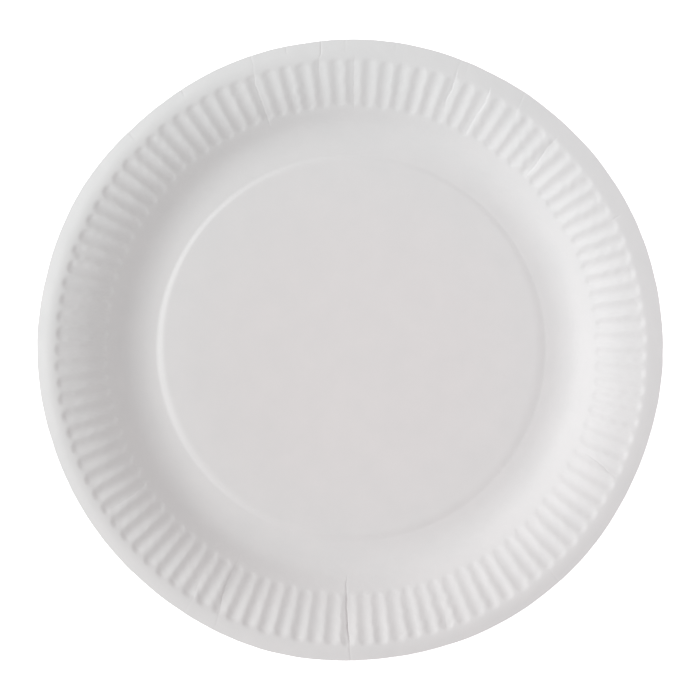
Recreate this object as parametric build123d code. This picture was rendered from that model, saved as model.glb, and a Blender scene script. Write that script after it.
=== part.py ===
from build123d import *
import math
import os

# A round paper plate, pressed in one stroke from one disc of board, in mm.
# +Z is up and z = 0 is the surface it rests on. The origin is the centre of
# the cut outline, and the pressed form's own axis lies FORM_SHIFT away from
# it along -Y, because the disc went into the press a little off centre.
#
# One sheet of even thickness, from the axis outward:
#   flat centre panel, raised a little,
#   crease ring, where the panel steps down to the foot,
#   narrow flat foot ring, the only part that touches the table,
#   wall arc and straight wall,
#   fluted band: 108 grooves pressed into the wall's crown, between ridges
#   that stay on the plain surface, each with a soft inner end and a short
#   rounded scoop for its outer end,
#   plain rolled-over lip, ending at the cut edge.

# ---- driving dimensions ----
PLATE_D = 230.0          # cut outline
BOARD_T = 0.40           # board thickness
FORM_SHIFT = 0.775       # pressed form's axis from the outline's centre, -Y

PANEL_R = 67.70          # flat centre panel
PANEL_RISE = 0.70        # panel above the foot
CREASE_R_OUT = 9.0       # rounding at the panel's shoulder, on the top face
CREASE_R_IN = 5.5        # rounding into the foot, on the top face
FOOT_W = 1.31            # width of the flat foot ring
WALL_R = 18.2            # arc from the foot up into the wall, on the top face
WALL_DEG = 39.5          # steepest slope of the wall

BAND_R_IN = 89.3         # fluted band, inner circle, on the straight wall
SCOOP_R = 107.2          # grooves' full depth ends and their outer scoops begin
BAND_R_OUT = 109.6       # fluted band, outer circle, on the lip's rounding
CROWN_RISE = 9.312       # height gained from the inner circle to the scoops
CROWN_DEG = 15.5         # slope of the crown there
CROWN_HANDLE_IN = 8.132  # the crown's curve leaves the wall over this length
CROWN_HANDLE_OUT = 8.763 # and reaches the scoops over this one
LIP_R = 10.1             # lip's rounding over its crest, on the top face
LIP_OUT_DEG = 15.0       # downward slope of the lip's rim

GROOVES = 108
GROOVE_DEPTH = 0.62      # pressed straight down
GROOVE_SOFT_END = 0.19   # share of the crown's curve taken by the inner end
CREST_DEG = 1.14         # a ridge crest lies at this angle from +X
GROOVE_ACROSS = [0.0, 0.0, 1.1191, 1.5530, 1.1191, 0.0, 0.0]
                         # depth across a groove, crest to crest: crests
                         # are a little narrower than valleys


def rad(a):
    return math.radians(a)


# ---- the meridian: (r, z) of the top face and of the underside ----
# Each station is a top point, its slope in degrees, and the board's far side
# is BOARD_T along the normal below it.
def below(p, slope):
    return (p[0] + BOARD_T * math.sin(rad(slope)), p[1] - BOARD_T * math.cos(rad(slope)))


crease_deg = math.degrees(math.acos(1 - PANEL_RISE / (CREASE_R_OUT + CREASE_R_IN)))
z_panel = BOARD_T + PANEL_RISE
p_panel = (PANEL_R, z_panel)
p_crease = (
    PANEL_R + CREASE_R_OUT * math.sin(rad(crease_deg)),
    z_panel - CREASE_R_OUT * (1 - math.cos(rad(crease_deg))),
)
p_foot_in = (p_crease[0] + CREASE_R_IN * math.sin(rad(crease_deg)), BOARD_T)
p_foot_out = (p_foot_in[0] + FOOT_W, BOARD_T)
p_wall = (
    p_foot_out[0] + WALL_R * math.sin(rad(WALL_DEG)),
    BOARD_T + WALL_R * (1 - math.cos(rad(WALL_DEG))),
)
p_band_in = (BAND_R_IN, p_wall[1] + (BAND_R_IN - p_wall[0]) * math.tan(rad(WALL_DEG)))
p_scoop = (SCOOP_R, p_band_in[1] + CROWN_RISE)
crest_r = SCOOP_R + LIP_R * math.sin(rad(CROWN_DEG))
crest_z = p_scoop[1] + LIP_R * (1 - math.cos(rad(CROWN_DEG)))
lip_in_deg = math.degrees(math.asin((crest_r - BAND_R_OUT) / LIP_R))
p_band_out = (BAND_R_OUT, crest_z - LIP_R * (1 - math.cos(rad(lip_in_deg))))
p_lip = (
    crest_r + LIP_R * math.sin(rad(LIP_OUT_DEG)),
    crest_z - LIP_R * (1 - math.cos(rad(LIP_OUT_DEG))),
)
rim_run = PLATE_D / 2 + 3.0 - p_lip[0]
p_rim = (p_lip[0] + rim_run, p_lip[1] - rim_run * math.tan(rad(LIP_OUT_DEG)))


def curve(start, start_deg, handle_in, end, end_deg, handle_out):
    """A cubic curve's four points, from its ends, slopes and handle lengths."""
    return [
        start,
        (
            start[0] + handle_in * math.cos(rad(start_deg)),
            start[1] + handle_in * math.sin(rad(start_deg)),
        ),
        (
            end[0] - handle_out * math.cos(rad(end_deg)),
            end[1] - handle_out * math.sin(rad(end_deg)),
        ),
        end,
    ]


def split(points, t):
    """De Casteljau: the two halves of a cubic curve at t."""
    left, right, row = [points[0]], [points[-1]], points
    while len(row) > 1:
        row = [
            (p[0] + t * (q[0] - p[0]), p[1] + t * (q[1] - p[1]))
            for p, q in zip(row, row[1:])
        ]
        left.append(row[0])
        right.insert(0, row[-1])
    return left, right


def three_runs(band_in, scoop, band_out, inward):
    """A groove's meridian: its soft inner end, its full-depth run and its outer scoop. inward is how far the face lies below the board's top."""
    crown_r = 38.1  # about the crown's own radius, which the underside's is less by the board
    k = (crown_r - inward) / crown_r
    crown = curve(
        band_in, WALL_DEG, CROWN_HANDLE_IN * k, scoop, CROWN_DEG, CROWN_HANDLE_OUT * k
    )
    inner, middle = split(crown, GROOVE_SOFT_END)
    h = 4 / 3 * math.tan(rad(CROWN_DEG - lip_in_deg) / 4) * (LIP_R - inward)
    return inner, middle, curve(scoop, CROWN_DEG, h, band_out, lip_in_deg, h)


# ---- one groove's width of arc, exact, as seven weighted points ----
PITCH = 2 * math.pi / GROOVES
half = PITCH / 2
arc = [
    (1.0, 0.0, 1.0),
    (math.cos(half), math.sin(half), math.cos(half)),
    (math.cos(PITCH), math.sin(PITCH), 1.0),
]  # x, y and weight, the middle one already multiplied by its weight
while len(arc) < len(GROOVE_ACROSS):
    n = len(arc)
    arc = [
        tuple(
            (k / n) * (arc[k - 1][c] if k else 0.0)
            + (1 - k / n) * (arc[k][c] if k < n else 0.0)
            for c in range(3)
        )
        for k in range(n + 1)
    ]


def groove_face(run, ramp):
    """One run of one groove as an exact surface patch: run is its meridian, and ramp the groove's share of its depth at each of the run's four points."""
    points, weights = [], []
    for (r, z), share in zip(run, ramp):
        points.append(
            [
                (r * x / w, r * y / w, z - GROOVE_DEPTH * share * g)
                for (x, y, w), g in zip(arc, GROOVE_ACROSS)
            ]
        )
        weights.append([w for _, _, w in arc])
    return Face.make_bezier_surface(points, weights)


RAMPS = ([0.0, 0.0, 1.0, 1.0], [1.0, 1.0, 1.0, 1.0], [1.0, 1.0, 0.0, 0.0])


def band_faces(runs):
    unit = [groove_face(run, ramp) for run, ramp in zip(runs, RAMPS)]
    return [f.rotate(Axis.Z, 360.0 * k / GROOVES) for k in range(GROOVES) for f in unit]


# ---- the plain rings ----
def spun(edge):
    return Face.revolve(edge, 360, Axis.Z)


def at(p):
    return Vector(p[0], 0, p[1])


def arc_edge(start, end, centre):
    """The short arc from start to end about centre."""
    a0 = math.atan2(start[1] - centre[1], start[0] - centre[0])
    a1 = math.atan2(end[1] - centre[1], end[0] - centre[0])
    r = math.hypot(start[0] - centre[0], start[1] - centre[1])
    m = (a0 + a1) / 2
    return Edge.make_three_point_arc(
        at(start), Vector(centre[0] + r * math.cos(m), 0, centre[1] + r * math.sin(m)), at(end)
    )


c_shoulder = (PANEL_R, z_panel - CREASE_R_OUT)
c_hollow = (p_foot_in[0], BOARD_T + CREASE_R_IN)
c_wall = (p_foot_out[0], BOARD_T + WALL_R)
c_lip = (crest_r, crest_z - LIP_R)


def side(lower):
    """All faces of the top, or of the underside when lower is true."""

    def s(p, slope):
        return below(p, slope) if lower else p

    panel = s(p_panel, 0)
    crease = s(p_crease, -crease_deg)
    foot_in, foot_out = s(p_foot_in, 0), s(p_foot_out, 0)
    wall = s(p_wall, WALL_DEG)
    band_in, scoop = s(p_band_in, WALL_DEG), s(p_scoop, CROWN_DEG)
    band_out = s(p_band_out, lip_in_deg)
    lip = s(p_lip, -LIP_OUT_DEG)
    rim = s(p_rim, -LIP_OUT_DEG)
    faces = [
        Face(Wire.make_circle(panel[0], Plane.XY.offset(panel[1]))),
        spun(arc_edge(panel, crease, c_shoulder)),
        spun(arc_edge(crease, foot_in, c_hollow)),
        spun(Edge.make_line(at(foot_in), at(foot_out))),
        spun(arc_edge(foot_out, wall, c_wall)),
        spun(Edge.make_line(at(wall), at(band_in))),
        spun(arc_edge(band_out, lip, c_lip)),
        spun(Edge.make_line(at(lip), at(rim))),
    ]
    runs = three_runs(band_in, scoop, band_out, BOARD_T if lower else 0.0)
    return faces + band_faces(runs), rim


top, rim_top = side(False)
under, rim_under = side(True)
edge_face = spun(Edge.make_line(at(rim_under), at(rim_top)))
shell = Shell(top + under + [edge_face])
sheet = Solid(shell)

# ---- trim to the cut outline: the cut is square to the lip's rim ----
sheet = sheet.rotate(Axis.Z, CREST_DEG).translate((0, -FORM_SHIFT, 0))
flare = math.tan(rad(LIP_OUT_DEG))
z_cut = p_lip[1] - (PLATE_D / 2 - p_lip[0]) * flare
z_low, z_high = -5.0, 30.0
outline = Solid.make_cone(
    PLATE_D / 2 + (z_low - z_cut) * flare,
    PLATE_D / 2 + (z_high - z_cut) * flare,
    z_high - z_low,
    Plane.XY.offset(z_low),
)
plate = sheet.intersect(outline)[0]

os.makedirs("parts", exist_ok=True)
plate.label = "plate"
export_step(plate, "parts/plate.step")
box = plate.bounding_box()
print("plate", plate.is_valid, len(plate.faces()), round(plate.volume, 1), box.min, box.max)
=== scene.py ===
import math

import bpy
import numpy as np
from mathutils import Matrix, Vector


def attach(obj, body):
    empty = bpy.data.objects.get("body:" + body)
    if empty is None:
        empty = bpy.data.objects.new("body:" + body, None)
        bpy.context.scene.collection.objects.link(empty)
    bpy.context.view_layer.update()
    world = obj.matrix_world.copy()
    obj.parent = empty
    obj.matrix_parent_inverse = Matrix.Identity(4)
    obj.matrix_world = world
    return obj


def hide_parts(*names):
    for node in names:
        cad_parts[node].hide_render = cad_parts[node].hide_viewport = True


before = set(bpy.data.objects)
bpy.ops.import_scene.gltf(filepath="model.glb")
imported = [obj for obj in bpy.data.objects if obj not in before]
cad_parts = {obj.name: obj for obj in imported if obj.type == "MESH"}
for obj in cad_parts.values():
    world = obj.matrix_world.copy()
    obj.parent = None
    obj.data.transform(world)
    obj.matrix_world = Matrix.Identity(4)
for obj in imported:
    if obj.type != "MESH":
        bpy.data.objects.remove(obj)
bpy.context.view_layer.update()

# A pressed paper plate as one closed sheet of board. Lengths below are in mm
# and angles in degrees; the mesh is written in metres. The pressed form's axis
# lies at (AXIS_X, AXIS_Y), and radii and angles of the form are about it, while
# the cut outline is about the origin.
AXIS_X, AXIS_Y = 0.136, -0.558
T = 0.40                      # board thickness
R_CUT = 115.0

PANEL_RISE = 0.70
R_TURN = 71.1                 # the crease's steepest circle
BAND_IN, SCOOP_R = 89.3, 107.2
CROWN_RISE, CROWN_DEG = 9.312, 15.5
HANDLE_IN, HANDLE_OUT = 8.132, 8.763
LIP_R, LIP_OUT_DEG = 10.1, 15.0
# slope of the wall, in degrees, from the foot to the fluted band
WALL = [(74.4, 0.0), (76.0, 4.3), (78.0, 10.5), (80.9, 18.6), (82.7, 26.0), (85.0, 37.5), (86.5, 42.3), (87.5, 43.0),
        (88.5, 42.2), (89.3, 41.0)]

GROOVES, CREST_DEG = 108, 1.195
PITCH = 360.0 / GROOVES

rng = np.random.default_rng(7)


def smooth(t):
    t = np.clip(t, 0.0, 1.0)
    return t * t * (3.0 - 2.0 * t)


# ---- the meridian without the panel's rise: (r, z) of the top face ----
def meridian():
    rows = [(0.0, T), (WALL[0][0], T)]
    for r in np.arange(WALL[0][0] + 0.05, BAND_IN + 0.001, 0.05):
        s = np.interp(r - 0.025, [q[0] for q in WALL], [q[1] for q in WALL])
        rows.append((r, rows[-1][1] + 0.05 * math.tan(math.radians(s))))
    z1 = rows[-1][1]
    w = math.radians(WALL[-1][1])
    c = math.radians(CROWN_DEG)
    p = np.array([
        (BAND_IN, z1),
        (BAND_IN + HANDLE_IN * math.cos(w), z1 + HANDLE_IN * math.sin(w)),
        (SCOOP_R - HANDLE_OUT * math.cos(c), z1 + CROWN_RISE - HANDLE_OUT * math.sin(c)),
        (SCOOP_R, z1 + CROWN_RISE),
    ])
    for t in np.linspace(0, 1, 300)[1:]:
        q = (1 - t) ** 3 * p[0] + 3 * t * (1 - t) ** 2 * p[1] + 3 * t * t * (1 - t) * p[2] + t ** 3 * p[3]
        rows.append(tuple(q))
    rc = SCOOP_R + LIP_R * math.sin(c)
    zc = z1 + CROWN_RISE + LIP_R * (1 - math.cos(c))
    for a in np.linspace(c, -math.radians(LIP_OUT_DEG), 160)[1:]:
        rows.append((rc - LIP_R * math.sin(a), zc - LIP_R * (1 - math.cos(a))))
    r0, z0 = rows[-1]
    rows.append((118.0, z0 - (118.0 - r0) * math.tan(math.radians(LIP_OUT_DEG))))
    rows = np.array(rows)
    # a little rounding wherever two runs meet
    r = np.arange(0.0, 118.0, 0.05)
    z = np.interp(r, rows[:, 0], rows[:, 1])
    k = np.exp(-0.5 * (np.arange(-30, 31) * 0.05 / 0.35) ** 2)
    z = np.r_[z[:30], np.convolve(z, k / k.sum(), "valid"), z[-30:]]
    return r, z, rc


MER_R, MER_Z, R_CREST = meridian()


def ring_table(pairs, spread):
    """A smooth periodic function of the angle through (angle, value) pairs."""
    grid = np.arange(0.0, 360.0, 0.5)
    xs = np.array([p[0] for p in pairs], float)
    ys = np.array([p[1] for p in pairs], float)
    v = np.interp(grid, np.r_[xs - 360, xs, xs + 360], np.r_[ys, ys, ys])
    d = np.minimum(grid, 360 - grid)
    k = np.exp(-0.5 * (d / spread) ** 2)
    v = np.real(np.fft.ifft(np.fft.fft(v) * np.fft.fft(k / k.sum())))
    return lambda a: np.interp(np.mod(a, 360.0), np.r_[grid, 360.0], np.r_[v, v[0]])


# The crease steps down from the panel to the foot. By angle: how far the step
# reaches onto the panel and onto the foot, its height, and the slight fall of
# the panel just before it.
CREASE_OUT = ring_table(
    [(0, 4.0), (15, 3.4), (30, 2.6), (45, 2.4), (60, 2.0), (90, 1.8), (105, 1.7), (120, 1.5), (150, 1.7), (165, 2.2),
     (180, 2.8), (195, 3.1), (225, 3.1), (270, 3.0), (300, 3.2), (330, 3.6), (345, 3.9)], 4.0)
CREASE_IN = ring_table(
    [(0, 1.25), (60, 1.25), (120, 1.15), (150, 1.25), (165, 1.6), (180, 1.8), (195, 1.85), (225, 1.65), (300, 1.6), (330, 1.35)], 4.0)
CREASE_RISE = ring_table(
    [(0, 0.46), (15, 0.38), (30, 0.36), (60, 0.38), (90, 0.40), (105, 0.48), (120, 0.60), (135, 0.86), (150, 0.86), (165, 1.02),
     (180, 1.27), (195, 1.22), (210, 1.20), (225, 0.87), (240, 0.75), (255, 0.55), (270, 0.48), (300, 0.54), (315, 0.40), (345, 0.40)], 4.0)
PANEL_FALL = ring_table([(0, 0.10), (15, 0.0), (120, 0.0), (150, 0.16), (180, 0.32), (195, 0.34), (220, 0.24), (245, 0.04),
                         (270, 0.04), (285, 0.10), (315, 0.22), (345, 0.18)], 6.0)
UNDULATE = [(rng.uniform(0.02, 0.07), rng.uniform(0, 360), rng.uniform(0, 6.28)) for _ in range(7)]
# low swells of the lip: how many go round, height, phase, and drift with the radius
SWELLS = [(int(rng.integers(24, 95)), rng.uniform(0.006, 0.013), rng.uniform(0, 6.28), rng.uniform(-0.9, 0.9)) for _ in range(7)]
# Where the wall and band stand steeper or flatter than true, in degrees: a mean,
# then the cosine and sine parts of one and two turns round the plate, at each
# radius, with straight lines between.
LEAN_R = [79.0, 85.0, 91.0, 97.0, 103.0]
LEAN = [
    (-0.50, 0.76, -0.42, -0.32, 0.60),
    (-1.15, 1.45, -1.53, 0.44, 0.64),
    (-0.93, 0.69, -0.91, -0.16, 0.85),
    (0.58, -0.63, -0.78, 0.08, 0.96),
    (0.84, -1.40, -0.68, -0.20, 0.97),
]
# how steeply the lip falls to the cut edge
DROOP = ring_table([(0, 2.5), (30, 1.5), (45, 2.5), (90, 10.0), (135, 17.0), (180, 18.5), (210, 15.0), (225, 11.5), (240, 10.5),
                    (270, 14.0), (315, 8.5), (330, 5.0)], 9.0)


def panel_share(r, a):
    """How much of the panel's rise is left at a place: 1 on the panel, 0 from the foot outward."""
    w1, w2 = CREASE_OUT(a), CREASE_IN(a)
    x = r - R_TURN
    t, u = np.clip(x / w1, -1, 0), np.clip(x / w2, 0, 1)
    gone = w1 * ((t + 1) / 2 + np.sin(np.pi * t) / (2 * np.pi)) + w2 * (u / 2 + np.sin(np.pi * u) / (2 * np.pi))
    return 1 - gone / ((w1 + w2) / 2)


def lean_heights():
    """What one degree at each radius of LEAN_R adds to the meridian's height."""
    slope2 = 1 + np.gradient(MER_Z, MER_R) ** 2
    knots = [74.0] + LEAN_R + [109.0]
    out = []
    for k in range(len(LEAN_R)):
        hat = np.interp(MER_R, knots[k:k + 3], [0.0, 1.0, 0.0]) * slope2 * math.radians(1.0)
        out.append(np.cumsum(hat) * (MER_R[1] - MER_R[0]))
    return out


LEAN_Z = lean_heights()


def plain(r, a):
    """Height of the sheet's top face without grooves and pleats."""
    rise = CREASE_RISE(a) + PANEL_FALL(a) * smooth((70.0 - r) / 11.0)
    rise = PANEL_RISE + (rise - PANEL_RISE) * np.minimum(r / 66.0, 1.0) ** 1.4
    x, y = r * np.cos(np.radians(a)), r * np.sin(np.radians(a))
    for f, turn, phase in UNDULATE:
        t = math.radians(turn)
        rise = rise + 0.018 * np.sin(f * 2.2 * (x * math.cos(t) + y * math.sin(t)) + phase) * smooth((72 - r) / 20)
    z = np.interp(r, MER_R, MER_Z) + rise * panel_share(r, a)
    t = np.radians(a)
    for rows, (mean, c1, s1, c2, s2) in zip(LEAN_Z, LEAN):
        size = mean + c1 * np.cos(t) + s1 * np.sin(t) + c2 * np.cos(2 * t) + s2 * np.sin(2 * t)
        z = z + size * np.interp(r, MER_R, rows)
    past = np.maximum(r - R_CREST, 0.0)
    z = z + (math.tan(math.radians(LIP_OUT_DEG)) - np.tan(np.radians(DROOP(a)))) * np.where(past < 2.6, past ** 2 / 5.2, past - 1.3)
    # the rim isn't quite flat
    wave = 0.10 * np.sin(2 * t + 0.7) + 0.09 * np.sin(3 * t - 1.1) + 0.05 * np.sin(5 * t + 2.0)
    z = z + wave * smooth((r - 84.0) / 26.0)
    for n, size, phase, way in SWELLS:
        z = z + size * np.sin(n * t + way * (r - R_CREST) + phase) * smooth((r - R_CREST - 0.3) / 2.2)
    return z


# ---- the grooves ----
def noise(count, scale, most=2.0):
    return np.clip(rng.standard_normal(count), -most, most) * scale


G = {
    "depth": 1 + noise(GROOVES, 0.06),
    "shift": noise(GROOVES, 0.05),
    "lean": noise(GROOVES, 0.045),
    "outer": 109.32 + noise(GROOVES, 0.16),
    "inner": 89.55 + noise(GROOVES, 0.28),
    "wide": 1 + noise(GROOVES, 0.035),
}
# their depth by angle, as shares of the mean, near the wall, at mid band and towards the lip
DEPTH_IN = ring_table([(0, 1.15), (30, 1.30), (60, 1.08), (90, 0.86), (120, 0.84), (150, 1.05), (180, 1.0), (210, 1.0), (240, 0.92),
                       (270, 0.90), (300, 0.86), (330, 0.95)], 8.0)
DEPTH_MID = ring_table([(0, 1.1), (30, 1.07), (60, 1.05), (90, 0.92), (120, 0.93), (150, 1.15), (180, 1.1), (210, 1.07), (240, 1.05),
                        (270, 1.04), (300, 0.95), (330, 0.95)], 8.0)
DEPTH_OUT = ring_table([(0, 1.0), (30, 0.80), (60, 0.87), (90, 0.70), (120, 0.88), (150, 1.18), (180, 1.12), (210, 1.22), (240, 1.25),
                        (270, 1.15), (300, 0.98), (330, 0.90)], 8.0)
REACH = ring_table([(0, 0.0), (30, 0.0), (60, -0.15), (90, -0.25), (120, -0.15), (150, 0.0), (210, 0.0), (240, 0.12), (270, 0.12),
                    (300, 0.0)], 8.0)    # how much further out they end than the mean
DRIFT = ring_table([(0, 0.0), (60, -0.02), (85, 0.02), (105, 0.06), (130, 0.06), (150, 0.02), (180, 0.0)], 6.0)  # and turn, in degrees
WAVES = [  # sideways wobble of each groove's two edges: wavelength, size in degrees
    (rng.uniform(lo, hi, (2, GROOVES)), rng.uniform(0, 6.283, (2, GROOVES)), noise(2 * GROOVES, size).reshape(2, GROOVES))
    for lo, hi, size in ((3.0, 4.8, 0.125), (5.0, 8.0, 0.12), (9.0, 16.0, 0.09))
]
WOBBLE = ring_table([(0, 1.0), (185, 1.0), (200, 0.55), (240, 0.5), (250, 1.0)], 4.0)    # and how much of it, by angle

# each ridge's crest also wanders a little along its way, more in some places than in others
WANDER = [
    (rng.uniform(lo, hi, GROOVES), rng.uniform(0, 6.283, GROOVES), noise(GROOVES, size))
    for lo, hi, size in ((3.3, 4.8, 0.12), (5.0, 8.0, 0.08))
]
LIVELY = ring_table([(0, 0.5), (20, 1.2), (50, 1.2), (62, 0.7), (80, 0.5), (95, 0.8), (110, 1.0), (122, 0.5), (150, 0.9), (180, 0.8),
                     (200, 0.55), (232, 0.5), (244, 0.6), (252, 1.1), (264, 0.5), (275, 1.1), (300, 1.0), (330, 0.6)], 4.0)


def grooves(r, a):
    ridge = (a - CREST_DEG) / PITCH
    nearest = np.round(ridge)
    k = np.mod(nearest.astype(int), GROOVES)
    sway = sum(size[k] * np.sin(6.283 * r / length[k] + phase[k]) for length, phase, size in WANDER)
    a = a + sway * LIVELY(a) * (1 - smooth((np.abs(ridge - nearest) - 0.26) / 0.24)) * smooth((r - 89.5) / 2.0) * smooth((109.5 - r) / 4.0)
    first = np.floor((a - CREST_DEG) / PITCH).astype(int)
    total = np.zeros_like(r)
    width = np.interp(r, [88, 94, 99, 103, 106, 108, 110], [0.485, 0.485, 0.48, 0.47, 0.46, 0.445, 0.43])
    near, far = np.clip((98.5 - r) / 6.5, 0, 1), np.clip((r - 98.5) / 7.0, 0, 1)
    depth = 0.60 * r / 100.0 * (near * DEPTH_IN(a) + far * DEPTH_OUT(a) + (1 - near - far) * DEPTH_MID(a))
    reach, drift, wobble = REACH(a), DRIFT(a), WOBBLE(a) * (1 - 0.55 * smooth((r - 103.5) / 3.5))
    for step in (-1, 0, 1):
        k = np.mod(first + step, GROOVES)
        centre = CREST_DEG + (first + step + 0.5) * PITCH
        off = a - centre - drift - G["shift"][k] - G["lean"][k] * (r - 98.0) / 10.0
        side = (off > 0).astype(int)
        edge = np.zeros_like(r)
        for length, phase, size in WAVES:
            edge = edge + size[side, k] * np.sin(6.283 * r / length[side, k] + phase[side, k])
        half = np.maximum(width * G["wide"][k] * PITCH + edge * wobble, 0.3 * PITCH)
        s2 = np.minimum((off / half) ** 2, 1.0)
        across = (1 - s2) ** 1.6
        outer = smooth((G["outer"][k] + reach - 1.6 * s2 ** 1.6 - r) / 2.1)
        inner = smooth((r - G["inner"][k] - 1.6 * s2) / 2.1)
        total = total + depth * G["depth"][k] * across * outer * inner
    return -total


# ---- pleats, where spare board was folded into the rim ----
# Each has a path of (radius, angle) points, the depth and half width of its
# furrow, a step by which its right-hand side (towards larger angles) stands
# higher, the length over which its ends fade, and its strength by radius.
def pleat(path, depth, wide=0.24, step=0.0, fade=1.2, fine=True, notch=0.0, share=((80.0, 1.0), (120.0, 1.0))):
    path = sorted((rr, aa) for rr, aa in path)
    wander = [(rng.uniform(2.6, 4.2), rng.uniform(0, 6.28), rng.uniform(0.015, 0.035)),
              (rng.uniform(5.0, 8.0), rng.uniform(0, 6.28), rng.uniform(0.02, 0.05))]
    return {
        "r": np.array([p[0] for p in path]), "a": np.array([p[1] for p in path]),
        "depth": depth, "wide": wide, "step": step, "fade": fade, "fine": fine, "notch": notch,
        "share": np.array(share, float), "wander": wander,
        "beat": (rng.uniform(3.5, 6.5), rng.uniform(0, 6.28)),
    }


PLEATS = [
    # the one deep fold, from the wall through the band; on the lip it is only a line
    pleat([(83.9, 268.95), (88.0, 268.85), (93.5, 269.05), (98.5, 269.2), (102.5, 269.4), (105.8, 269.65),
           (109.0, 269.85), (113.0, 269.95), (116.5, 270.0)], 0.32, 0.28, -0.30, 2.5, False, 0.06,
          ((83.0, 0.40), (89.0, 0.55), (95.0, 0.75), (99.0, 1.0), (104.5, 1.0), (107.0, 0.55), (109.5, 0.30), (117.0, 0.18))),
    pleat([(109.5, 268.75), (112.0, 268.75), (116.5, 268.7)], 0.045, 0.22, -0.03),
    pleat([(110.5, 267.75), (112.5, 267.8), (116.5, 267.8)], 0.03, 0.22),
    # shorter ones, anticlockwise from the right
    pleat([(106.4, 27.0), (109.2, 27.2), (111.6, 27.3)], 0.10, 0.24),
    pleat([(90.0, 45.0), (95.5, 45.4), (99.0, 45.7), (103.5, 46.3), (109.6, 46.4), (111.0, 46.5)], 0.12, 0.24, -0.06, 1.2, True, 0.0,
          ((90.0, 1.1), (103.0, 1.0), (107.0, 0.6), (111.0, 0.5))),
    pleat([(106.0, 55.2), (109.5, 55.75), (116.5, 56.3)], 0.03, 0.24, -0.055),
    pleat([(90.2, 62.1), (97.0, 62.2), (104.0, 61.8), (108.0, 62.05), (110.5, 62.3)], 0.085, 0.30, -0.15),
    pleat([(110.5, 67.6), (112.5, 67.75), (116.5, 68.0)], 0.035, 0.22),
    pleat([(96.0, 68.9), (100.0, 69.4), (104.5, 69.0), (109.0, 69.3), (116.5, 69.5)], 0.15, 0.22, -0.05, 1.2, True, 0.0,
          ((96.0, 0.6), (100.5, 0.9), (108.5, 1.0), (110.5, 0.6), (112.5, 0.3), (117.0, 0.28))),
    pleat([(108.0, 80.0), (110.5, 79.9)], 0.05, 0.2),
    pleat([(112.0, 81.6), (116.5, 81.6)], 0.06, 0.24),
    pleat([(88.5, 89.35), (98.0, 89.4), (106.0, 89.35), (110.5, 89.2)], 0.045, 0.22, 0.055),
    pleat([(110.0, 90.85), (112.0, 90.95), (116.5, 90.9)], 0.055, 0.22),
    pleat([(101.5, 96.5), (105.5, 96.35), (109.0, 96.1), (111.0, 95.55), (116.5, 95.45)], 0.13, 0.24, 0.04, 1.2, True, 0.04,
          ((101.0, 0.45), (109.0, 0.5), (111.0, 1.0), (117.0, 1.0))),
    pleat([(112.4, 102.0), (116.5, 101.8)], 0.11, 0.24),
    pleat([(88.2, 109.7), (98.0, 109.5), (105.0, 109.5), (108.5, 109.0), (112.0, 108.6), (116.5, 108.5)], 0.10, 0.22, -0.05, 1.2, True,
          0.03, ((88.0, 0.55), (99.0, 0.65), (104.0, 0.9), (108.5, 0.55), (112.0, 0.6), (117.0, 1.0))),
    pleat([(112.2, 122.85), (116.5, 122.75)], 0.10, 0.24, 0.14, 1.0, True, 0.12),
    pleat([(110.6, 135.25), (116.5, 135.3)], 0.06, 0.24, 0.09),
    pleat([(107.0, 140.9), (109.5, 140.4), (112.0, 140.3)], 0.04, 0.24),
    pleat([(108.8, 200.3), (110.5, 200.1)], 0.05, 0.24),
    pleat([(90.5, 213.5), (98.0, 213.7), (106.5, 213.4)], 0.05, 0.22, 0.09),
    pleat([(99.0, 236.4), (104.0, 237.0), (108.5, 237.6), (112.5, 237.5), (116.5, 237.7)], 0.055, 0.24, 0.03, 1.2, True, 0.0,
          ((99.0, 0.6), (107.0, 1.0), (111.0, 0.8), (117.0, 0.5))),
    pleat([(86.5, 241.9), (95.0, 241.85), (99.0, 242.0), (103.0, 242.5), (107.0, 243.2), (110.5, 243.6), (116.5, 243.9)],
          0.15, 0.26, -0.10, 2.0, True, 0.0,
          ((86.5, 0.25), (96.0, 0.40), (99.5, 1.0), (103.0, 0.9), (105.5, 0.45), (111.0, 0.30), (117.0, 0.20))),
    pleat([(84.5, 291.2), (87.0, 291.0), (90.0, 290.7)], 0.02, 0.22, 0.04),
    pleat([(103.0, 289.8), (107.0, 289.3), (109.0, 289.1)], 0.07, 0.24, 0.05),
    pleat([(112.0, 291.6), (116.5, 291.7)], 0.06, 0.24),
    pleat([(108.6, 312.5), (112.0, 312.3), (116.5, 312.2)], 0.045, 0.26),
    pleat([(94.6, 336.4), (98.0, 336.2), (101.5, 335.7), (105.0, 335.1), (108.3, 334.7)], 0.10, 0.26, -0.06),
]
# fainter ones between them, mostly on the lip
for base in (11.2, 19.9, 38.4, 74.6, 148.0, 164.4, 191.0, 219.6, 226.2, 256.6, 277.3, 283.4, 305.2, 327.4, 351.8):
    bend = rng.uniform(-0.35, 0.35)
    r_in = rng.uniform(109.5, 113.0)
    PLEATS.append(pleat([(r_in, base + bend), (r_in + 2.0, base + 0.3 * bend), (116.5, base)],
                        rng.uniform(0.012, 0.03), 0.24, rng.uniform(-0.02, 0.02)))


def along(p, r):
    a = np.interp(r, p["r"], p["a"])
    for length, phase, size in p["wander"]:
        a = a + size * np.sin(6.283 * np.asarray(r) / length + phase)
    return a


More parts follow.
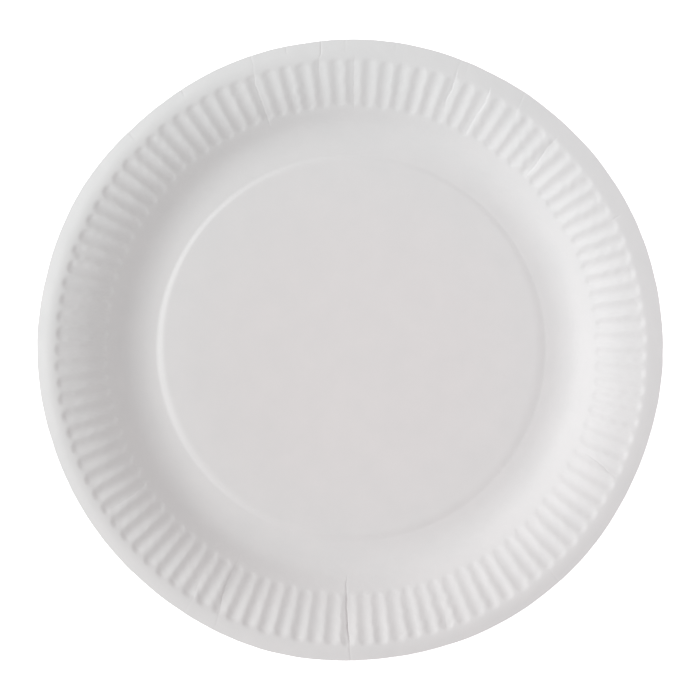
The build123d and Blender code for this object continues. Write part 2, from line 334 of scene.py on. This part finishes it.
def pleats(r, a, under=False):
    total = np.zeros_like(r)
    for p in PLEATS:
        off = np.mod(a - along(p, r) + 180.0, 360.0) - 180.0
        near = (np.abs(off) < 4.0) & (r > p["r"][0] - 0.01)
        if not near.any():
            continue
        rr = r[near]
        v = np.radians(off[near]) * rr
        last = p["r"][-1]
        show = smooth((rr - p["r"][0]) / p["fade"])
        if last < 115.0:
            show = show * smooth((last - rr) / p["fade"])
        length, phase = p["beat"]
        show = show * np.interp(rr, p["share"][:, 0], p["share"][:, 1]) * (1 + 0.22 * np.sin(6.283 * rr / length + phase))
        if under:  # the sheet's far side follows, more softly
            h = -0.25 * p["depth"] * np.exp(-(v / (1.9 * p["wide"])) ** 2)
            h = h + 0.5 * p["step"] * np.tanh(v / 0.45) * np.exp(-np.abs(v) / 1.4)
        else:
            h = -p["depth"] * np.exp(-(v / p["wide"]) ** 2)
            h = h + 0.5 * p["step"] * np.tanh(v / 0.16) * np.exp(-np.abs(v) / 1.4)
        total[near] += show * h
    return total


# ---- the cut outline ----
OUT_OF_ROUND = [(2, 0.160, -45.3), (3, 0.211, -118.5), (4, 0.059, 68.6), (5, 0.161, -115.3), (6, 0.106, -97.3), (7, 0.092, 16.0),
                (8, 0.051, 111.5), (9, 0.025, 124.5), (10, 0.073, -30.9), (11, 0.043, 135.0), (12, 0.041, 46.3)]
RAG = ring_table([(float(x), v) for x, v in zip(np.arange(0, 360, 1.5), rng.normal(0, 0.05, 240))], 0.7)


def cut_radius(a):
    """Distance from the form's axis to the cut edge, along the angle a about that axis."""
    t = np.radians(a)
    r = np.full_like(t, R_CUT)
    for _ in range(3):
        x, y = r * np.cos(t) + AXIS_X, r * np.sin(t) + AXIS_Y
        psi = np.arctan2(y, x)
        want = R_CUT + RAG(np.degrees(psi))
        for n, size, phase in OUT_OF_ROUND:
            want = want + size * np.cos(n * psi + math.radians(phase))
        r = r + want - np.hypot(x, y)
    for p in PLEATS:
        if p["notch"]:
            off = np.mod(a - p["a"][-1] + 180.0, 360.0) - 180.0
            r = r - p["notch"] * np.exp(-(np.radians(off) * R_CUT / 0.35) ** 2)
    return r


# ---- columns and rings ----
INNER = np.arange(0.0, 360.0, 1.25)
IN_GROOVE = np.array([0.0, 0.085, 0.19, 0.30, 0.40, 0.50, 0.60, 0.70, 0.81, 0.915])
cols = (CREST_DEG + (np.arange(GROOVES)[:, None] + IN_GROOVE[None, :]) * PITCH).ravel() % 360.0
R_MID = 108.0
for p in PLEATS:
    at = (p["a"].min() + p["a"].max()) / 2
    p["at"] = at
    spots = np.array([-0.62, -0.34, -0.16, 0.0, 0.16, 0.34, 0.62] if p["fine"]
                     else [-1.2, -0.75, -0.48, -0.28, -0.12, 0.0, 0.12, 0.28, 0.48, 0.75, 1.2])
    here = np.degrees(spots / R_MID)
    gap = np.abs(np.mod(cols - at + 180.0, 360.0) - 180.0)
    cols = np.r_[cols[gap > here[-1] + 0.10], (at + here) % 360.0]
cols = np.sort(cols)
cols = cols[np.r_[True, np.diff(cols) > 0.03]]
if cols[0] + 360.0 - cols[-1] < 0.03:
    cols = cols[:-1]


def bent(r):
    """Column angles at a radius: near a pleat they follow its path."""
    a = cols.copy()
    for p in PLEATS:
        off = np.mod(cols - p["at"] + 180.0, 360.0) - 180.0
        share = 1 - smooth((np.abs(off) - 0.75) / 2.6)
        a = a + share * (along(p, r) - p["at"])
    return a


TOP_INNER = np.r_[4.0, 10, 17, 25, 33, 41, 49, 56, 61, 64.2, 66.0, np.arange(67.0, 69.5, 0.5), np.arange(69.6, 72.7, 0.26), 73.2,
                  np.arange(73.9, 83.5, 0.95)]
TOP_OUTER = np.array([84.4, 85.6, 87.0, 88.4, 89.4, 90.1, 90.7, 91.3, 91.9, 92.6, 93.5, 94.5, 95.6, 96.7, 97.8, 98.9,
                      100.0, 101.1, 102.2, 103.3, 104.4, 105.4, 106.1, 106.7, 107.2, 107.65, 108.1, 108.55, 109.0, 109.5, 110.1, 110.8])
TOP_LIP = np.array([0.18, 0.38, 0.60, 0.80, 0.94, 1.0])
LOW_INNER = np.r_[14.0, 28, 42, 54, 62, 65.5, np.arange(66.9, 73.0, 0.55), 73.6, 74.6, 76.0, 77.6, 79.4, 81.4, 83.4]
LOW_OUTER = np.array([85.0, 87.6, 89.4, 90.3, 91.1, 92.0, 93.6, 96.0, 98.8, 101.6, 104.0, 105.6, 106.6, 107.3, 108.0,
                      108.7, 109.5, 110.8])
LOW_LIP = np.array([0.35, 0.75, 1.0])

verts, faces, kinds = [], [], []


def ring(r, a, under):
    """Adds one ring of points and returns (its first index, its angles)."""
    a = np.asarray(a, float)
    r = np.broadcast_to(np.asarray(r, float), a.shape).copy()
    z = plain(r, a)
    h = 0.02
    slope = np.arctan2(plain(r + h, a) - plain(r - h, a), 2 * h)
    extra = np.zeros_like(r)
    if r.max() > 84.0:
        extra = grooves(r, a) + pleats(r, a, under)
    reach = r
    if under:
        reach = r + T * np.sin(slope)
        z = z - T * np.cos(slope)
    z = z + extra
    t = np.radians(a)
    start = sum(len(v) for v in verts)
    verts.append(np.c_[reach * np.cos(t) + AXIS_X, reach * np.sin(t) + AXIS_Y, z])
    return start, a


def quads(inner, outer, under, kind=0):
    (i0, a), (j0, _) = inner, outer
    n = len(a)
    i = np.arange(n)
    k = (i + 1) % n
    f = np.c_[i0 + i, j0 + i, j0 + k, i0 + k]
    faces.append(f[:, ::-1] if under else f)
    kinds.append(np.full(n, kind))


def join(inner, outer, under):
    """Triangles between two rings with different numbers of points."""
    (i0, a), (j0, b) = inner, outer
    n, m = len(a), len(b)
    sa, sb = np.unwrap(np.radians(a)), np.unwrap(np.radians(b))
    turn = 2 * math.pi
    shift = np.round((sa[0] - sb[0]) / turn) * turn
    sb = sb + shift
    i = j = 0
    out = []
    while i < n or j < m:
        next_a = sa[(i + 1) % n] + turn * ((i + 1) // n)
        next_b = sb[(j + 1) % m] + turn * ((j + 1) // m)
        if j >= m or (i < n and next_a < next_b):
            out.append((i0 + i % n, j0 + j % m, i0 + (i + 1) % n))
            i += 1
        else:
            out.append((i0 + i % n, j0 + j % m, j0 + (j + 1) % m))
            j += 1
    f = np.array(out)
    f = np.c_[f, f[:, 2]]
    faces.append(f[:, [2, 1, 0, 0]] if under else f)
    kinds.append(np.zeros(len(f), int))


def surface(inner_rings, outer_rings, lip, under):
    centre = sum(len(v) for v in verts)
    z0 = plain(np.array([0.0]), np.array([0.0]))[0]
    verts.append(np.array([[AXIS_X, AXIS_Y, z0 - (T if under else 0.0)]]))
    last = ring(inner_rings[0], INNER, under)
    n = len(INNER)
    i = np.arange(n)
    f = np.c_[np.full(n, centre), last[0] + i, last[0] + (i + 1) % n, last[0] + (i + 1) % n]
    faces.append(f[:, [2, 1, 0, 0]] if under else f)
    kinds.append(np.zeros(n, int))
    for r in inner_rings[1:]:
        now = ring(r, INNER, under)
        quads(last, now, under)
        last = now
    first = True
    for r in outer_rings:
        now = ring(r, bent(r), under)
        if first:
            join(last, now, under)
            first = False
        else:
            quads(last, now, under)
        last = now
    for share in lip:
        a = bent(outer_rings[-1] + share * 4.2)
        r = outer_rings[-1] + share * (cut_radius(a) - outer_rings[-1])
        now = ring(r, a, under)
        quads(last, now, under)
        last = now
    return last


top_rim = surface(TOP_INNER, TOP_OUTER, TOP_LIP, False)
top_count = sum(len(f) for f in faces)
low_rim = surface(LOW_INNER, LOW_OUTER, LOW_LIP, True)
low_count = sum(len(f) for f in faces)
# the cut edge, very slightly rounded by the die
verts_all = np.vstack(verts)
A, B = verts_all[top_rim[0]:top_rim[0] + len(cols)], verts_all[low_rim[0]:low_rim[0] + len(cols)]
mid = (A + B) / 2
out = mid[:, :2] - [AXIS_X, AXIS_Y]
mid[:, :2] += out / np.linalg.norm(out, axis=1)[:, None] * 0.035
mid_ring = (len(verts_all), cols)
verts.append(mid)
quads(mid_ring, top_rim, True, 1)
quads(low_rim, mid_ring, True, 1)

V = np.vstack(verts)
F = np.vstack(faces)
K = np.concatenate(kinds)

# loops, with three-cornered faces written as such
side_of = np.zeros(len(F), int)
side_of[top_count:low_count] = 1
side_of[low_count:] = 2
loops = []
for f in F:
    seen = []
    for v in f:
        if int(v) not in seen:
            seen.append(int(v))
    loops.append(seen)

mesh = bpy.data.meshes.new("plate_sheet")
mesh.from_pydata((V * 0.001).tolist(), [], loops)
mesh.update()
piece = bpy.data.objects.new("plate_sheet", mesh)
bpy.context.scene.collection.objects.link(piece)
mesh.polygons.foreach_set("use_smooth", np.ones(len(loops), bool))
mesh.polygons.foreach_set("material_index", K.astype(np.int32))

# crisp corners at the cut edge
E = np.empty(len(mesh.edges) * 2, np.int32)
mesh.edges.foreach_get("vertices", E)
E = E.reshape(-1, 2)


def on(rim):
    return ((E >= rim[0]) & (E < rim[0] + len(cols))).all(1)


mesh.edges.foreach_set("use_edge_sharp", on(top_rim) | on(low_rim))

# the map for the baked finish: the top face in a large disc, the underside in a
# smaller one, and the cut edge in a thin ring round the first
uv = mesh.uv_layers.new(name="OFBake")
corner = np.empty(len(mesh.loops), np.int32)
mesh.loops.foreach_get("vertex_index", corner)
count = np.array([len(x) for x in loops])
loop_side = np.repeat(side_of, count)
P = V[corner]
big, small = 0.357 / 117.0, 0.222 / 117.0
u = np.where(loop_side == 1, 0.775 - P[:, 0] * small, 0.36 + P[:, 0] * big)
w = np.where(loop_side == 1, 0.225 + P[:, 1] * small, 0.64 + P[:, 1] * big)
edge = loop_side == 2
rad = np.hypot(P[:, 0], P[:, 1])
drop = np.zeros(len(V))
drop[mid_ring[0]:] = 0.5
drop[low_rim[0]:low_rim[0] + len(cols)] = 1.0
stretch = np.where(edge, (rad + 1.0 * drop[corner]) / rad, 1.0)
u = np.where(edge, 0.36 + P[:, 0] * big * stretch, u)
w = np.where(edge, 0.64 + P[:, 1] * big * stretch, w)
uv.data.foreach_set("uv", np.c_[u, w].ravel().astype(np.float32))
mesh.update()


# ---- finishes ----
def tree_for(name):
    m = bpy.data.materials.new(name)
    m.use_nodes = True
    nt = m.node_tree
    bsdf = next(n for n in nt.nodes if n.type == "BSDF_PRINCIPLED")
    return m, nt, bsdf


def add(nt, kind, **values):
    n = nt.nodes.new(kind)
    for k, v in values.items():
        if k in n.inputs:
            n.inputs[k].default_value = v
        else:
            setattr(n, k, v)
    return n


def mapped(nt, coords, scale, turn=0.0):
    m = nt.nodes.new("ShaderNodeMapping")
    m.inputs["Scale"].default_value = scale
    m.inputs["Rotation"].default_value = (0.0, 0.0, turn)
    nt.links.new(coords, m.inputs["Vector"])
    return m.outputs["Vector"]


def noise_node(nt, vector, scale, detail=3.0, rough=0.5):
    n = add(nt, "ShaderNodeTexNoise", Scale=scale, Detail=detail, Roughness=rough)
    nt.links.new(vector, n.inputs["Vector"])
    return n.outputs["Fac"]


def math_node(nt, operation, a, b):
    n = nt.nodes.new("ShaderNodeMath")
    n.operation = operation
    for s, v in zip(n.inputs, (a, b)):
        if isinstance(v, (int, float)):
            s.default_value = v
        else:
            nt.links.new(v, s)
    return n.outputs[0]


def ranged(nt, value, lo, hi, to_lo, to_hi, kind="LINEAR"):
    n = nt.nodes.new("ShaderNodeMapRange")
    n.interpolation_type = kind
    for s, v in (("From Min", lo), ("From Max", hi), ("To Min", to_lo), ("To Max", to_hi)):
        n.inputs[s].default_value = v
    nt.links.new(value, n.inputs["Value"])
    return n.outputs["Result"]


def mixed(nt, share, a, b):
    n = nt.nodes.new("ShaderNodeMix")
    n.data_type = "RGBA"
    nt.links.new(share, n.inputs["Factor"])
    for s, v in ((n.inputs[6], a), (n.inputs[7], b)):
        if isinstance(v, tuple):
            s.default_value = v
        else:
            nt.links.new(v, s)
    return n.outputs[2]


def graded(nt, tone, share, low, high):
    """The tone times a tint that goes from low, where share is 0, to high, where it is 1."""
    n = nt.nodes.new("ShaderNodeVectorMath")
    n.operation = "MULTIPLY"
    nt.links.new(tone, n.inputs[0])
    nt.links.new(mixed(nt, share, low, high), n.inputs[1])
    return n.outputs["Vector"]


# painted light: the board's colour is multiplied by tints that stand in for the light's fall and colour across the
# plate, darker on the left, darker and warmer near, warmer on the panel than at the rim; each tint is a share of its
# colour, from one end of the plate to the other
PAINTED_LIGHT_X = (0.9795, 0.985, 0.981, 1), (1.0205, 1.015, 1.019, 1)      # left and right
PAINTED_LIGHT_Y = (0.991, 0.9785, 0.9775, 1), (1.009, 1.0215, 1.0225, 1)      # near and far
PAINTED_LIGHT_R = (1.0285, 0.9945, 0.9915, 1), (1.0055, 0.9975, 0.9965, 1)         # panel and rim


def board(name, pale, shade, warm, rough, bump_size):
    """White plate board: cloudy formation, faint fibres lying two ways, soft sheen, and painted light that tints it
    across the plate.
    """
    m, nt, bsdf = tree_for(name)
    place = nt.nodes.new("ShaderNodeTexCoord").outputs["Object"]
    cloud = noise_node(nt, place, 85.0, 3.0, 0.55)
    grain = noise_node(nt, place, 640.0, 4.0, 0.6)
    fibre_a = noise_node(nt, mapped(nt, place, (2600.0, 420.0, 900.0), 0.5), 1.0, 2.0, 0.5)
    fibre_b = noise_node(nt, mapped(nt, place, (480.0, 2400.0, 900.0), 0.2), 1.0, 2.0, 0.5)
    fibres = math_node(nt, "MAXIMUM", fibre_a, fibre_b)
    tone = mixed(nt, ranged(nt, cloud, 0.3, 0.7, 0.0, 1.0), pale, shade)
    tone = mixed(nt, ranged(nt, grain, 0.62, 0.82, 0.0, 0.55), tone, warm)
    across = nt.nodes.new("ShaderNodeSeparateXYZ")
    nt.links.new(place, across.inputs[0])
    x, y = across.outputs["X"], across.outputs["Y"]
    # painted light: these tints darken the left and near side and warm the panel, standing in for the light's fall and
    # colour
    tone = graded(nt, tone, ranged(nt, x, -0.115, 0.115, 0.0, 1.0), *PAINTED_LIGHT_X)
    tone = graded(nt, tone, ranged(nt, y, -0.115, 0.115, 0.0, 1.0), *PAINTED_LIGHT_Y)
    from_axis = math_node(nt, "SQRT", math_node(nt, "ADD", math_node(nt, "MULTIPLY", x, x), math_node(nt, "MULTIPLY", y, y)), 0.0)
    outward = ranged(nt, from_axis, 0.0288, 0.092, 0.0, 1.0, "SMOOTHSTEP")
    tone = graded(nt, tone, outward, *PAINTED_LIGHT_R)
    nt.links.new(tone, bsdf.inputs["Base Color"])
    nt.links.new(ranged(nt, math_node(nt, "ADD", cloud, grain), 0.7, 1.3, rough - 0.05, rough + 0.05), bsdf.inputs["Roughness"])
    bsdf.inputs["Specular IOR Level"].default_value = 0.30
    relief = math_node(nt, "ADD", math_node(nt, "MULTIPLY", grain, 0.7), math_node(nt, "MULTIPLY", fibres, 0.5))
    relief = math_node(nt, "ADD", relief, math_node(nt, "MULTIPLY", cloud, 1.6))
    bump = add(nt, "ShaderNodeBump", Strength=1.0, Distance=bump_size)
    nt.links.new(relief, bump.inputs["Height"])
    nt.links.new(bump.outputs["Normal"], bsdf.inputs["Normal"])
    return m


face_finish = board("board_face", (0.840, 0.8175, 0.8195, 1), (0.818, 0.800, 0.8025, 1), (0.810, 0.784, 0.778, 1), 0.60, 0.00003)
edge_finish = board("board_cut_edge", (0.80, 0.775, 0.765, 1), (0.76, 0.735, 0.715, 1), (0.72, 0.68, 0.65, 1), 0.85, 0.00008)
mesh.materials.append(face_finish)
mesh.materials.append(edge_finish)

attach(piece, "root")
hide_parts("plate")

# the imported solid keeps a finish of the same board, though the sheet stands for it
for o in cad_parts.values():
    o.data.materials.clear()
    o.data.materials.append(face_finish)

# ---- floor, light, camera ----
seg = 96
ring_pts = [(9.0 * math.cos(2 * math.pi * k / seg), 9.0 * math.sin(2 * math.pi * k / seg), -0.00004) for k in range(seg)]
fm = bpy.data.meshes.new("floor")
fm.from_pydata(ring_pts, [], [list(range(seg))])
floor = bpy.data.objects.new("floor", fm)
bpy.context.scene.collection.objects.link(floor)
m, nt, bsdf = tree_for("floor_white")
floor_bsdf = bsdf
bsdf.inputs["Base Color"].default_value = (0.86, 0.86, 0.86, 1)
bsdf.inputs["Roughness"].default_value = 0.9
bsdf.inputs["Specular IOR Level"].default_value = 0.1
bsdf.inputs["Emission Color"].default_value = (1, 1, 1, 1)
fm.materials.append(m)

scene = bpy.context.scene
scene.view_settings.view_transform = "Standard"
scene.view_settings.look = "None"
scene.view_settings.exposure = 0.0
scene.view_settings.gamma = 1.0

# a white tent: an even light from above, WORLD_HIGH, and a brighter band round the horizon, WORLD_LOW
WORLD_HIGH, WORLD_LOW, FLOOR_GLOW = 0.578, 0.205, 0.80
# each soft light: azimuth, elevation, distance, size, power, colour
LIGHTS = [(173.0, 32.3, 5.0, 1.8, 110.7, (0.957, 1.0215, 1.0195))]

world = bpy.data.worlds.new("studio")
scene.world = world
world.use_nodes = True
wt = world.node_tree
back = next(n for n in wt.nodes if n.type == "BACKGROUND")
back.inputs["Color"].default_value = (1, 1, 1, 1)
sky = wt.nodes.new("ShaderNodeSeparateXYZ")
wt.links.new(wt.nodes.new("ShaderNodeTexCoord").outputs["Generated"], sky.inputs[0])
height = ranged(wt, sky.outputs["Z"], 0.0, 1.0, 1.0, 0.0)
band = math_node(wt, "POWER", height, 3.0)
level = math_node(wt, "ADD", math_node(wt, "MULTIPLY", band, WORLD_LOW), WORLD_HIGH)
wt.links.new(level, back.inputs["Strength"])
floor_bsdf.inputs["Emission Strength"].default_value = FLOOR_GLOW


def soft_light(name, azimuth, elevation, distance, size, power, colour):
    a, e = math.radians(azimuth), math.radians(elevation)
    data = bpy.data.lights.new(name, "AREA")
    data.shape = "DISK"
    data.size = size
    data.energy = power
    data.color = colour
    o = bpy.data.objects.new(name, data)
    way = Vector((math.cos(a) * math.cos(e), math.sin(a) * math.cos(e), math.sin(e)))
    o.location = way * distance
    o.rotation_mode = "QUATERNION"
    o.rotation_quaternion = way.to_track_quat("Z", "Y")
    scene.collection.objects.link(o)
    return o


for n, setting in enumerate(LIGHTS):
    soft_light(f"soft_{n}", *setting)

cam_data = bpy.data.cameras.new("camera")
cam_data.sensor_width = 36.0
cam = bpy.data.objects.new("camera", cam_data)
scene.collection.objects.link(cam)
scene.camera = cam
TILT, TURN, FAR = math.radians(6.1), math.radians(10.0), 3.0
way = Vector((math.sin(TILT) * math.sin(TURN), math.sin(TILT) * math.cos(TURN), math.cos(TILT)))
target = Vector((-0.00003, 0.00049, 0.0167))
cam.location = target + way * FAR
# image up is +Y
right = Vector((0, 1, 0)).cross(way).normalized()
up = way.cross(right)

cam.rotation_mode = "QUATERNION"
cam.rotation_quaternion = Matrix((right, up, way)).transposed().to_quaternion()
FRAME_W = 0.700 * 0.36784     # metres across the 700-pixel picture at the target
cam_data.lens = cam_data.sensor_width * FAR / FRAME_W
cam_data.clip_start, cam_data.clip_end = 0.1, 50.0

print("triangles", int((count - 2).sum()), "columns", len(cols))
